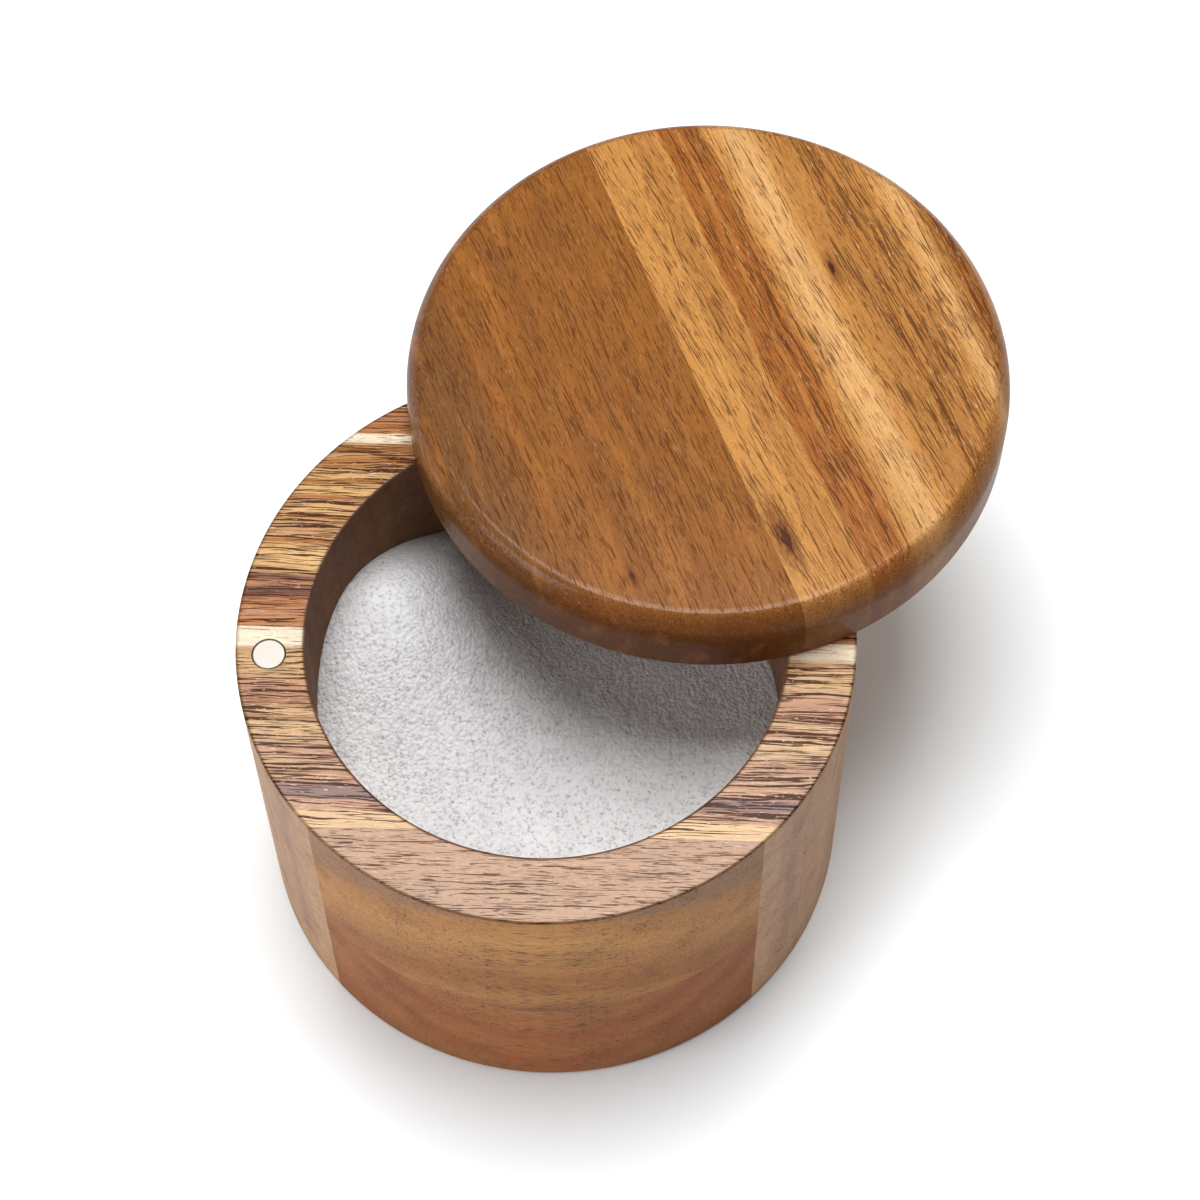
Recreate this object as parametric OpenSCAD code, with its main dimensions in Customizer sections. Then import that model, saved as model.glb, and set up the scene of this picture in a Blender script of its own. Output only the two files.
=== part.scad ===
// Round wooden salt box with a lid that swivels on a vertical pin.
// The body is turned from a block glued up from boards, and bored out for the salt.
// The lid is glued up from two boards. A pin in the wall carries it, and two magnets hold it shut.
// The origin is the centre of the body's underside. +Z is up, and +X points to the pivot pin.

/* [Body] */
// Outside diameter of the body
body_d = 89; // [84:1:120]
// Height of the body without the lid
body_h = 59.8; // [50:0.2:90]
// Thickness of the wall round the cavity
wall = 9.9; // [8.6:0.1:14]
// Thickness of the floor under the cavity
floor_t = 9; // [6:0.5:14]
// Radius of the cove between the cavity's wall and its floor
cove_r = 5; // [2:0.5:9]
// Width of the boards in the middle of the block
board_w = 31.1; // [26:0.1:36]
// Turn of the body's boards from the line through magnet and pin, in degrees
body_grain = -6.4; // [-12:0.2:12]
// Chamfer on both edges of the rim
rim_chamfer = 0.35; // [0.1:0.05:1]
// Chamfer round the body's underside
foot_chamfer = 0.8; // [0.2:0.1:2]

/* [Lid] */
// Thickness of the lid
lid_t = 11; // [9.5:0.1:16]
// How far the lid's edge lies inside the body's
lid_inset = 0.2; // [0:0.1:1]
// Gap between the lid and the rim
lid_gap = 0.2; // [0.1:0.05:0.5]
// Radius of the rounding round the lid's top
lid_round_r = 5.7; // [5:0.1:9]
// Height of the rounded part of the lid's edge
lid_round_h = 4.7; // [2:0.1:5]
// Chamfer round the lid's underside
lid_chamfer = 0.35; // [0.1:0.05:1]
// Place of the glue joint, measured back from the lid's centre
lid_joint = -3; // [-15:0.5:15]
// Turn of the lid's boards from the line through magnet and pin, in degrees
lid_grain = -2.6; // [-12:0.2:12]
// How far the lid stands open, in degrees
lid_open = 70.4; // [0:0.2:180]

/* [Pivot pin] */
// Distance from the body's outside to the centres of the pin and the magnets
fitting_inset = 4.8; // [4.3:0.1:5.2]
// Diameter of the pin
pin_d = 4.8; // [3:0.1:6]
// Length of the pin inside the lid
pin_in_lid = 7.5; // [4:0.5:8.5]
// Length of the pin inside the body
pin_in_body = 20; // [10:1:30]
// Radial running clearance of the pin in the body's bore
pin_clearance = 0.06; // [0.02:0.01:0.1]
// Gap under the pin's lower end
pin_end_gap = 0.8; // [0.3:0.1:3]
// Chamfer on the pin's ends
pin_chamfer = 0.4; // [0.1:0.1:1]

/* [Magnets] */
// Diameter of the magnets
magnet_d = 4.7; // [3:0.1:6]
// Length of the magnets
magnet_l = 5; // [2:0.5:7]
// Radial glue gap between a magnet and its hole
magnet_gap = 0.14; // [0.05:0.01:0.3]
// Chamfer on the magnets' ends
magnet_chamfer = 0.2; // [0.1:0.05:0.5]

/* [Salt] */
// Depth of the level salt below the rim
salt_depth = 28; // [20:0.5:32]
// Height of the heap above the level salt
heap_h = 12.6; // [2:0.2:16]
// Width of the heap, from its middle to the steepest part of its slope
heap_spread = 14; // [8:0.5:20]
// Distance of the heap's top from the cavity's wall
heap_inset = 3.6; // [0:0.2:15]
// Direction of the heap from the body's centre, in degrees from the pin
heap_angle = 148.7; // [0:1:360]

/* [Hidden] */
body_r = body_d / 2;
cavity_r = body_r - wall;
lid_r = body_r - lid_inset;
lid_z = body_h + lid_gap;
fitting_r = body_r - fitting_inset;
magnet_hole_r = magnet_d / 2 + magnet_gap;
overshoot = 1;
body_joints = [-body_r - overshoot, -board_w, 0, board_w, body_r + overshoot];
lid_joints = [-lid_r - overshoot, lid_joint, lid_r + overshoot];
// The heap's bell shape runs out level after this many spreads
heap_reach = 3;
heap_steps = 12;
heap_edge = exp(-heap_reach * heap_reach / 2);

function heap_at(spreads) = heap_h * (exp(-spreads * spreads / 2) - heap_edge) / (1 - heap_edge);

$fn = 96;

// Round solid with a chamfer at each end
module chamfered_rod(r, length, chamfer) {
    rotate_extrude()
        polygon([
            [0, 0], [r - chamfer, 0], [r, chamfer],
            [r, length - chamfer], [r - chamfer, length], [0, length]
        ]);
}

// One board's share of a glued-up block, from one joint line to the next
module board_slab(joints, number, grain, height) {
    side = joints[len(joints) - 1] - joints[0];
    rotate([0, 0, grain])
        translate([-side / 2, joints[number], -overshoot])
            cube([side, joints[number + 1] - joints[number], height + 2 * overshoot]);
}

// Half section of the space inside the body, with its coved corner
module cavity_section() {
    translate([0, floor_t])
        square([cavity_r - cove_r, body_h - floor_t]);
    translate([0, floor_t + cove_r])
        square([cavity_r, body_h - floor_t - cove_r]);
    translate([cavity_r - cove_r, floor_t + cove_r])
        circle(cove_r);
}

// Cone that takes the sharp edge off the cavity's mouth
module cavity_mouth() {
    rotate_extrude()
        polygon([
            [0, body_h - rim_chamfer], [cavity_r, body_h - rim_chamfer],
            [cavity_r + rim_chamfer + overshoot, body_h + overshoot], [0, body_h + overshoot]
        ]);
}

// The turned body before it is shared out among its boards
module body_block() {
    difference() {
        rotate_extrude()
            polygon([
                [0, 0], [body_r - foot_chamfer, 0], [body_r, foot_chamfer],
                [body_r, body_h - rim_chamfer], [body_r - rim_chamfer, body_h], [0, body_h]
            ]);
        rotate_extrude() cavity_section();
        cavity_mouth();
        translate([fitting_r, 0, body_h - pin_in_body - pin_end_gap])
            cylinder(r = pin_d / 2 + pin_clearance, h = pin_in_body + pin_end_gap + overshoot);
        translate([-fitting_r, 0, body_h - magnet_l])
            cylinder(r = magnet_hole_r, h = magnet_l + overshoot);
    }
}

module body_board(number) {
    intersection() {
        body_block();
        board_slab(body_joints, number, body_grain, body_h);
    }
}

// Turns what is drawn for the closed lid about the pin to where the lid stands
module lid_in_place() {
    translate([fitting_r, 0, lid_z])
        rotate([0, 0, -lid_open])
            translate([-fitting_r, 0, 0])
                children();
}

// Half section of the lid, flat on top with a rounding that starts at a crease
module lid_section() {
    intersection() {
        polygon([[0, 0], [lid_r - lid_chamfer, 0], [lid_r, lid_chamfer], [lid_r, lid_t], [0, lid_t]]);
        union() {
            square([lid_r, lid_t - lid_round_h]);
            square([lid_r - lid_round_r, lid_t]);
            translate([lid_r - lid_round_r, lid_t - lid_round_h])
                circle(lid_round_r);
        }
    }
}

// The turned lid before it is shared out between its boards, with its underside at z = 0
module lid_disc() {
    difference() {
        rotate_extrude() lid_section();
        translate([fitting_r, 0, -overshoot])
            cylinder(r = pin_d / 2, h = pin_in_lid + overshoot);
        translate([-fitting_r, 0, -overshoot])
            cylinder(r = magnet_hole_r, h = magnet_l + overshoot);
    }
}

module lid_board(number) {
    lid_in_place()
        intersection() {
            lid_disc();
            board_slab(lid_joints, number, lid_grain, lid_t);
        }
}

module body_front_board() {
    color([0.72, 0.47, 0.30]) body_board(0);
}

module body_mid_front_board() {
    color([0.62, 0.42, 0.26]) body_board(1);
}

module body_mid_rear_board() {
    color([0.70, 0.50, 0.29]) body_board(2);
}

module body_rear_board() {
    color([0.75, 0.50, 0.30]) body_board(3);
}

module body_magnet() {
    color([0.86, 0.84, 0.80])
        translate([-fitting_r, 0, body_h - magnet_l])
            chamfered_rod(magnet_d / 2, magnet_l, magnet_chamfer);
}

// Level salt with a bell-shaped heap pushed up against the cavity's wall
module salt() {
    level = body_h - salt_depth;
    heap_r = cavity_r - heap_inset;
    color([0.93, 0.93, 0.93])
        intersection() {
            rotate_extrude() cavity_section();
            union() {
                cylinder(r = body_r, h = level);
                rotate([0, 0, heap_angle])
                    translate([heap_r, 0, level])
                        rotate_extrude()
                            polygon([
                                [0, -overshoot],
                                for (i = [heap_steps : -1 : 0])
                                    [
                                        heap_reach * heap_spread * i / heap_steps,
                                        heap_at(heap_reach * i / heap_steps)
                                    ]
                            ]);
            }
        }
}

module lid_front_board() {
    color([0.60, 0.37, 0.18]) lid_board(0);
}

module lid_rear_board() {
    color([0.76, 0.52, 0.27]) lid_board(1);
}

module lid_magnet() {
    color([0.86, 0.84, 0.80])
        lid_in_place()
            translate([-fitting_r, 0, 0])
                chamfered_rod(magnet_d / 2, magnet_l, magnet_chamfer);
}

module pivot_pin() {
    color([0.70, 0.70, 0.72])
        translate([fitting_r, 0, body_h - pin_in_body])
            chamfered_rod(pin_d / 2, pin_in_body + lid_gap + pin_in_lid, pin_chamfer);
}

body_front_board();
body_mid_front_board();
body_mid_rear_board();
body_rear_board();
body_magnet();
salt();
lid_front_board();
lid_rear_board();
lid_magnet();
pivot_pin();
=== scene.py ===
"""Looks of a round wooden salt box with a swivel lid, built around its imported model."""

import math
from collections import namedtuple

import bpy
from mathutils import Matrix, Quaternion, Vector


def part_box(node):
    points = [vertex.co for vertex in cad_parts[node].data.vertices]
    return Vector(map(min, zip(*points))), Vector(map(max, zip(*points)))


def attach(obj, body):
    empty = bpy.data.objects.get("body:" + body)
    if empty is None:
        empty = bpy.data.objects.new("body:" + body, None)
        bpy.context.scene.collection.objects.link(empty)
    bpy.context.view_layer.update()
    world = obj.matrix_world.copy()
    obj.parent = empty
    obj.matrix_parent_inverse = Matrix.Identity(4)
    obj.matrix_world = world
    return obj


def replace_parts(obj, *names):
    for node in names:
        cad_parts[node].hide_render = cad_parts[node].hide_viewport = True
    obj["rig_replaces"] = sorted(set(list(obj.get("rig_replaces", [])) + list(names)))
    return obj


bl_info = {
    "name": "Wooden Salt Box",
    "version": (1, 0, 0),
    "blender": (4, 5, 0),
    "location": "3D View > Sidebar > Salt Box",
    "description": "Builds the boards, magnets, salt and stage of a salt box with a swivel lid",
    "category": "Add Mesh",
}

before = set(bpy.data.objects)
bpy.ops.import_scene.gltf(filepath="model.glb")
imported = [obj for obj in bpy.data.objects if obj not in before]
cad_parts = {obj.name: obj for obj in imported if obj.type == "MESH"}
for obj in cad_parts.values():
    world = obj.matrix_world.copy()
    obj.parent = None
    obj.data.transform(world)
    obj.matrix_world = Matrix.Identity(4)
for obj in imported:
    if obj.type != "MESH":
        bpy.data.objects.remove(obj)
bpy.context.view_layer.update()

MM = 0.001
BODY_BOARDS = (
    "body_front_board",
    "body_mid_front_board",
    "body_mid_rear_board",
    "body_rear_board",
)
LID_BOARDS = ("lid_front_board", "lid_rear_board")


def box_of(nodes):
    """Lowest and highest corner of several parts of the model together, in millimetres."""
    corners = [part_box(node) for node in nodes]
    low = [min(lo[axis] for lo, hi in corners) / MM for axis in range(3)]
    high = [max(hi[axis] for lo, hi in corners) / MM for axis in range(3)]
    return Vector(low), Vector(high)


def middle_of(node):
    """Centre of one part's box, in millimetres."""
    lo, hi = box_of([node])
    return (lo + hi) / 2


# Sizes and places read from the model, in millimetres
BODY_LO, BODY_HI = box_of(BODY_BOARDS)
BODY_R = min(-BODY_LO.x, -BODY_LO.y, BODY_HI.x, BODY_HI.y)
BODY_H = BODY_HI.z
SALT_LO, SALT_HI = box_of(["salt"])
CAVITY_R = min(-SALT_LO.x, -SALT_LO.y, SALT_HI.x, SALT_HI.y)
CAVITY_FLOOR = SALT_LO.z
LID_LO, LID_HI = box_of(LID_BOARDS)
LID_T = LID_HI.z - LID_LO.z
PIN = middle_of("pivot_pin")
PIN_LO, PIN_HI = box_of(["pivot_pin"])
PIN_R = (PIN_HI.y - PIN_LO.y) / 2
LID_MAGNET = middle_of("lid_magnet")
BODY_MAGNET = middle_of("body_magnet")
MAGNET_LO, MAGNET_HI = box_of(["body_magnet"])
MAGNET_R = (MAGNET_HI.y - MAGNET_LO.y) / 2
MAGNET_L = MAGNET_HI.z - MAGNET_LO.z
LID_MIDDLE = Vector(((PIN.x + LID_MAGNET.x) / 2, (PIN.y + LID_MAGNET.y) / 2, LID_LO.z))
LID_R = min(LID_HI.x - LID_MIDDLE.x, LID_HI.y - LID_MIDDLE.y, LID_MIDDLE.y - LID_LO.y)
LID_TURN = math.degrees(math.atan2(PIN.y - LID_MIDDLE.y, PIN.x - LID_MIDDLE.x))
FITTING_R = PIN.x

# Sizes of the construction that no part's box gives, in millimetres and degrees
BOARD_W = 31.1
BODY_GRAIN = -6.4
LID_GRAIN = -2.6
LID_JOINT = -3.0
PIN_CLEARANCE = 0.06
PIN_END_GAP = 0.8
MAGNET_GAP = 0.14
OVERSHOOT = 1.0
# Side of the block that cuts a board out of a turned shape
SLAB_SIDE = 156.0
# The heap's bell shape runs out level after this many spreads
HEAP_REACH = 3.0
# Points of the salt no further than this below its level belong to its top
LEVEL_TOLERANCE = 0.01
# Loose crystals lie on the faces of the salt from this far below its level
LOOSE_DROP = 2.0

# Fineness of the meshes: faces round a hole, supporting points in millimetres, bends in radians
HOLE_SEGMENTS = 72
WOOD_SUPPORT = 0.15
MAGNET_SUPPORT = 0.05
SHARP_BEND = math.radians(35)
SALT_BEND = math.radians(60)

# Each scattering of crystals has a seed of its own
FIRST_SEED = 11
SEED_STEP = 7

# The camera stands where the photo was taken from, in millimetres and degrees
CAMERA_AIM = (8.10, 5.11, BODY_H)
CAMERA_DISTANCE = 466.4
CAMERA_AZIMUTH = -3.26
CAMERA_ELEVATION = 61.82
CAMERA_ROLL = -0.981
CAMERA_LENS = 97.22
CAMERA_NEAR = 10.0
CAMERA_FAR = 20000.0
SENSOR_WIDTH = 36.0


def tone(red, green, blue):
    """A colour given as it shows on screen, from 0 to 255, as linear values."""
    values = []
    for value in (red / 255, green / 255, blue / 255):
        values.append(value / 12.92 if value <= 0.04045 else ((value + 0.055) / 1.055) ** 2.4)
    return tuple(values)


def colour_property(name, description, default):
    return bpy.props.FloatVectorProperty(
        name=name, description=description, default=default, subtype="COLOR", min=0, max=1
    )


def size_property(name, description, default):
    """A length held in metres, given here in millimetres."""
    return bpy.props.FloatProperty(
        name=name, description=description, default=default * MM, subtype="DISTANCE",
        unit="LENGTH", precision=5,
    )


def angle_property(name, description, degrees):
    """An angle held in radians, given here in degrees."""
    return bpy.props.FloatProperty(
        name=name, description=description, default=math.radians(degrees), subtype="ANGLE",
        unit="ROTATION",
    )


def power_property(name, description, default):
    return bpy.props.FloatProperty(
        name=name, description=description, default=default, min=0, unit="POWER"
    )


def share_property(name, description, default):
    """A roughness or a strength, which has no unit."""
    return bpy.props.FloatProperty(name=name, description=description, default=default, min=0)


def count_property(name, description, default, least):
    return bpy.props.IntProperty(name=name, description=description, default=default, min=least)


class TurnedShapes(bpy.types.PropertyGroup):
    """Roundings of the turned body and lid."""

    rim_round: size_property("Rim rounding", "Radius of both edges of the rim", 0.35)
    foot_round: size_property("Foot rounding", "Radius round the body's underside", 0.8)
    cove: size_property("Cove", "Radius between the cavity's wall and floor", 5.0)
    lid_round: size_property("Lid rounding", "Radius of the rounding round the lid's top", 5.7)
    lid_round_height: size_property("Rounding height", "Height of the lid's rounded edge", 4.7)
    lid_crease: size_property("Crease softness", "Radius of the crease inside the rounding", 2.2)
    lid_edge: size_property("Lid underside edge", "Radius round the lid's underside", 0.35)
    segments: count_property("Segments", "Faces round the turned shapes", 288, 24)


class WoodTones(bpy.types.PropertyGroup):
    """Colours found across the boards."""

    cream: colour_property("Cream", "Sapwood beside the joints", tone(217, 199, 174))
    sand: colour_property("Sand", "Pale golden wood of the body", tone(188, 150, 100))
    fawn: colour_property("Fawn", "Pale brown wood of the body", tone(168, 128, 88))
    # Partly the body sides' own tone, partly painted sheen of their grazing faces
    side_tone_and_sheen: colour_property("Blush", "Pinkish beige of the body's sides", tone(186, 148, 118))
    straw: colour_property("Straw", "Lightest heartwood", tone(200, 152, 96))
    gold: colour_property("Gold", "Golden heartwood", tone(181, 127, 67))
    tan: colour_property("Tan", "Greyish golden heartwood", tone(166, 113, 58))
    honey: colour_property("Honey", "Warm orange heartwood", tone(170, 108, 54))
    rose: colour_property("Rose", "Pinkish heartwood", tone(160, 112, 78))
    buff: colour_property("Buff", "Brown of the front board's rim", tone(147, 107, 74))
    drab: colour_property("Drab", "Smoky patches", tone(122, 80, 44))
    bark: colour_property("Bark", "Warm brown heartwood", tone(150, 95, 43))
    nut: colour_property("Nut", "Plain brown heartwood", tone(142, 88, 42))
    russet: colour_property("Russet", "Red brown streaks", tone(150, 91, 42))
    rust: colour_property("Rust", "Reddest heartwood", tone(141, 75, 31))
    clay: colour_property("Clay", "Red brown end grain", tone(92, 46, 20))
    umber: colour_property("Umber", "Dark purple brown bands", tone(98, 64, 52))
    ink: colour_property("Ink", "Darkest growth lines and pores", tone(62, 30, 18))


class SaltShapes(bpy.types.PropertyGroup):
    """Level, heap and grains of the salt."""

    depth: size_property("Depth", "Depth of the level salt below the rim", 28.0)
    heap_height: size_property("Heap height", "Height of the heap above the level salt", 12.6)
    heap_spread: size_property("Heap spread", "From the heap's middle to its steepest slope", 14.0)
    heap_inset: size_property("Heap inset", "Distance of the heap's top from the wall", 3.6)
    heap_angle: angle_property("Heap angle", "Direction of the heap from the middle", 148.7)
    ripple: size_property("Ripple", "Height of the unevenness of the surface", 0.5)
    rings: count_property("Rings", "Rings of faces across the surface", 180, 8)
    segments: count_property("Segments", "Faces round the salt", 440, 24)
    grain: size_property("Grain", "Width of a salt crystal", 0.42)
    sunk: size_property("Sunk", "How deep the middle of a crystal lies in the salt", 0.06)
    grains: count_property("Grains", "Crystals in each of the two scatterings", 2600, 1)
    colour: colour_property("Salt", "Colour of the salt", (0.78, 0.775, 0.78))


class MetalLooks(bpy.types.PropertyGroup):
    """Colours and finish of the magnets and the pin."""

    nickel: colour_property("Nickel", "Plating of the magnets", (0.54, 0.50, 0.46))
    nickel_rough: share_property("Nickel roughness", "Roughness of the magnets", 0.6)
    steel: colour_property("Steel", "Pivot pin", (0.60, 0.60, 0.62))
    steel_rough: share_property("Steel roughness", "Roughness of the pin", 0.35)
    magnet_edge: size_property("Magnet edge", "Rounding of the magnets' edges", 0.2)
    segments: count_property("Segments", "Faces round the magnets", 96, 24)


class StageLooks(bpy.types.PropertyGroup):
    """Floor and light."""

    floor: colour_property("Floor", "Colour of the floor", (0.94, 0.97, 0.985))
    floor_reach: size_property("Floor reach", "From the middle to the floor's edge", 4000.0)
    sky: share_property("Sky", "Strength of the white surroundings as a light", 0.3)
    shine: share_property("Shine", "Strength of the white surroundings in reflections", 0.12)
    key_power: power_property("Key power", "Power of the soft lamp above", 9.4)
    key_size: size_property("Key size", "Width of the soft lamp", 480.0)
    key_azimuth: angle_property("Key azimuth", "Direction of the lamp, from +X towards +Y", 88)
    key_elevation: angle_property("Key elevation", "Height of the lamp above the horizon", 79.5)
    fill_power: power_property("Fill power", "Power of the weak lamp beside the box", 3.2)
    fill_azimuth: angle_property("Fill azimuth", "Direction of the weak lamp", 205)
    fill_elevation: angle_property("Fill elevation", "Height of the weak lamp", 28)
    distance: size_property("Lamp distance", "Distance of the lamps from the box", 880.0)


class Wire:
    """An output socket used in arithmetic: each operator adds a Math node to its tree."""

    def __init__(self, tree, socket=None):
        self.tree = tree
        self.socket = socket

    def node(self, kind, settings=None, sockets=None, output=0):
        """Adds a node of one type, with its settings first and then its sockets' values or links."""
        made = self.tree.nodes.new(kind)
        for name, value in (settings or {}).items():
            if name == "stops":
                set_stops(made.color_ramp, value)
            else:
                setattr(made, name, value)
        for name, value in (sockets or {}).items():
            if isinstance(value, Wire):
                self.tree.links.new(value.socket, made.inputs[name])
            else:
                made.inputs[name].default_value = value
        return Wire(self.tree, made.outputs[output]) if made.outputs else None

    def math(self, operation, *values):
        sockets = dict(enumerate((self, *values)))
        return self.node("ShaderNodeMath", {"operation": operation}, sockets)

    def __add__(self, other):
        return self.math("ADD", other)

    def __radd__(self, other):
        return self.math("ADD", other)

    def __sub__(self, other):
        return self.math("SUBTRACT", other)

    def __rsub__(self, other):
        return self.node("ShaderNodeMath", {"operation": "SUBTRACT"}, {0: other, 1: self})

    def __mul__(self, other):
        return self.math("MULTIPLY", other)

    def __rmul__(self, other):
        return self.math("MULTIPLY", other)

    def __truediv__(self, other):
        return self.math("DIVIDE", other)

    def __abs__(self):
        return self.math("ABSOLUTE")


def set_stops(ramp, stops):
    """Gives a colour ramp its stops, as pairs of place and colour."""
    while len(ramp.elements) > 1:
        ramp.elements.remove(ramp.elements[-1])
    for number, (place, colour) in enumerate(stops):
        element = ramp.elements[0] if number == 0 else ramp.elements.new(place)
        element.position = place
        element.color = (*colour, 1)


def opaque(colour):
    """A colour property's value as a node socket takes it."""
    return (*colour, 1)


def rising(value, low, high):
    """From 0 at low to 1 at high, with soft ends. It falls where low is above high."""
    return value.node(
        "ShaderNodeMapRange",
        {"interpolation_type": "SMOOTHSTEP"},
        {"Value": value, "From Min": low, "From Max": high},
    )


def mix(share, first, second):
    """Blends two colours."""
    sockets = {0: share, 6: first, 7: second}
    settings = {"data_type": "RGBA", "clamp_factor": True}
    return share.node("ShaderNodeMix", settings, sockets, output=2)


def stretched(point, lengths):
    """The point measured in steps of the given lengths along the three axes."""
    steps = tuple(1 / length for length in lengths)
    return point.node("ShaderNodeVectorMath", {"operation": "MULTIPLY"}, {0: point, 1: steps})


def alike(length):
    """The same length along all three axes in metres, given in millimetres."""
    return (length * MM,) * 3


def noise(point, lengths, detail=2.0, roughness=0.5):
    """Soft noise about 0, from about -0.5 to 0.5, with features of the given lengths."""
    sockets = {"Vector": stretched(point, lengths), "Scale": 1.0, "Detail": detail}
    sockets["Roughness"] = roughness
    return point.node("ShaderNodeTexNoise", {}, sockets) - 0.5


def split(point):
    """The three coordinates of a point."""
    tree = point.tree
    made = tree.nodes.new("ShaderNodeSeparateXYZ")
    tree.links.new(point.socket, made.inputs[0])
    return [Wire(tree, output) for output in made.outputs]


def joined(x, y, z):
    """A point from three coordinates, of which at least one is a wire."""
    wire = next(part for part in (x, y, z) if isinstance(part, Wire))
    return wire.node("ShaderNodeCombineXYZ", {}, {0: x, 1: y, 2: z})


def new_material(name):
    """An empty material and a wire to start its nodes from."""
    material = bpy.data.materials.new(name)
    material.use_nodes = True
    material.node_tree.nodes.clear()
    return material, Wire(material.node_tree)


def finish_material(material, start, sockets):
    """Ends a material in a Principled shader with the given sockets."""
    shader = start.node("ShaderNodeBsdfPrincipled", {}, sockets)
    start.node("ShaderNodeOutputMaterial", {}, {"Surface": shader})
    return material


def arc(middle, radius, start, end, steps):
    """Points of an arc in a half section, between two angles in degrees."""
    points = []
    for step in range(steps + 1):
        angle = math.radians(start + (end - start) * step / steps)
        points.append((middle[0] + radius * math.cos(angle), middle[1] + radius * math.sin(angle)))
    return points


def supported(points, margin):
    """The same outline with a point close to each end of its long straight stretches."""
    result = [points[0]]
    for first, second in zip(points, points[1:]):
        span = Vector(second) - Vector(first)
        if span.length > 6 * margin:
            step = span * (margin / span.length)
            result.append(tuple(Vector(first) + step))
            result.append(tuple(Vector(second) - step))
        result.append(second)
    return result


def body_section(shapes):
    """Half section of the turned body, from the axis below to the axis on the cavity's floor."""
    rim = shapes.rim_round / MM
    foot = shapes.foot_round / MM
    cove = shapes.cove / MM
    points = [(0, 0)]
    points += arc((BODY_R - foot, foot), foot, -90, 0, 6)
    points += arc((BODY_R - rim, BODY_H - rim), rim, 0, 90, 5)
    points += arc((CAVITY_R + rim, BODY_H - rim), rim, 90, 180, 5)
    points += arc((CAVITY_R - cove, CAVITY_FLOOR + cove), cove, 0, -90, 10)
    points.append((0, CAVITY_FLOOR))
    return supported(points, WOOD_SUPPORT)


def lid_crease_radius(shapes):
    """Radius at which the lid's flat top would meet the rounding."""
    round_r = shapes.lid_round / MM
    round_h = shapes.lid_round_height / MM
    return LID_R - round_r + math.sqrt(round_r**2 - round_h**2)


def lid_section(shapes):
    """Half section of the turned lid, from the axis below to the axis on top."""
    edge = shapes.lid_edge / MM
    round_r = shapes.lid_round / MM
    round_h = shapes.lid_round_height / MM
    soft = shapes.lid_crease / MM
    middle = (LID_R - round_r, LID_T - round_h)
    # The crease is a fillet of its own between the rounding and the flat top
    inner = round_r - soft
    drop = middle[1] - (LID_T - soft)
    fillet = (middle[0] + math.sqrt(inner**2 - drop**2), LID_T - soft)
    meet = math.degrees(math.atan2(fillet[1] - middle[1], fillet[0] - middle[0]))
    points = [(0, 0)]
    points += arc((LID_R - edge, edge), edge, -90, 0, 5)
    points += arc(middle, round_r, 0, meet, 16)
    points += arc(fillet, soft, meet, 90, 8)[1:]
    points.append((0, LID_T))
    return supported(points, WOOD_SUPPORT)


def magnet_section(edge):
    """Half section of a magnet that starts at the origin."""
    points = [(0, 0)]
    points += arc((MAGNET_R - edge, edge), edge, -90, 0, 5)
    points += arc((MAGNET_R - edge, MAGNET_L - edge), edge, 0, 90, 5)
    points.append((0, MAGNET_L))
    return supported(points, MAGNET_SUPPORT)


def salt_section(shapes, salt):
    """Half section of the salt with a level top, whose rings are raised to the heap later."""
    cove = shapes.cove / MM
    level = BODY_H - salt.depth / MM
    points = [(0, CAVITY_FLOOR)]
    points += arc((CAVITY_R - cove, CAVITY_FLOOR + cove), cove, -90, 0, 8)
    for ring in range(salt.rings, -1, -1):
        points.append((CAVITY_R * ring / salt.rings, level))
    return points


def section_object(name, points):
    """An object whose mesh is the outline of a half section, in metres."""
    mesh = bpy.data.meshes.new(name)
    edges = [(number, number + 1) for number in range(len(points) - 1)]
    mesh.from_pydata([(x * MM, 0, z * MM) for x, z in points], edges, [])
    piece = bpy.data.objects.new(name, mesh)
    bpy.context.scene.collection.objects.link(piece)
    return piece


def new_tree(name, sockets):
    """A geometry tree with a geometry input and output and the given named inputs."""
    tree = bpy.data.node_groups.new(name, "GeometryNodeTree")
    tree.interface.new_socket("Geometry", in_out="INPUT", socket_type="NodeSocketGeometry")
    for label, kind in sockets:
        tree.interface.new_socket(label, in_out="INPUT", socket_type="NodeSocket" + kind)
    tree.interface.new_socket("Geometry", in_out="OUTPUT", socket_type="NodeSocketGeometry")
    group = tree.nodes.new("NodeGroupInput")
    wires = {output.name: Wire(tree, output) for output in group.outputs if output.name}
    return tree, wires


def tree_named(name, make):
    """A geometry tree, made the first time it is asked for."""
    return bpy.data.node_groups.get(name) or make()


def revolved_tree():
    """Turns the outline of a half section about the Z axis into a closed solid."""
    tree, given = new_tree("revolved_section", [("Segments", "Int")])
    outline = given["Geometry"]
    count = outline.node("GeometryNodeAttributeDomainSize", {}, {"Geometry": outline})
    sockets = {"Size X": 1.0, "Size Y": 1.0, "Vertices X": given["Segments"] + 1, "Vertices Y": count}
    grid = outline.node("GeometryNodeMeshGrid", {}, sockets)
    across, along, _ = split(outline.node("GeometryNodeInputPosition"))
    angle = (across + 0.5) * math.tau
    number = ((along + 0.5) * (count - 1)).math("ROUND")
    place = outline.node("GeometryNodeInputPosition")
    sockets = {"Geometry": outline, "Value": place, "Index": number}
    settings = {"data_type": "FLOAT_VECTOR", "clamp": True}
    radius, _, height = split(outline.node("GeometryNodeSampleIndex", settings, sockets))
    turned = joined(radius * angle.math("COSINE"), radius * angle.math("SINE"), height)
    solid = grid.node("GeometryNodeSetPosition", {}, {"Geometry": grid, "Position": turned})
    merged = solid.node("GeometryNodeMergeByDistance", {}, {"Geometry": solid, "Distance": 1e-7})
    outline.node("NodeGroupOutput", {}, {0: merged})
    return tree


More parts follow.
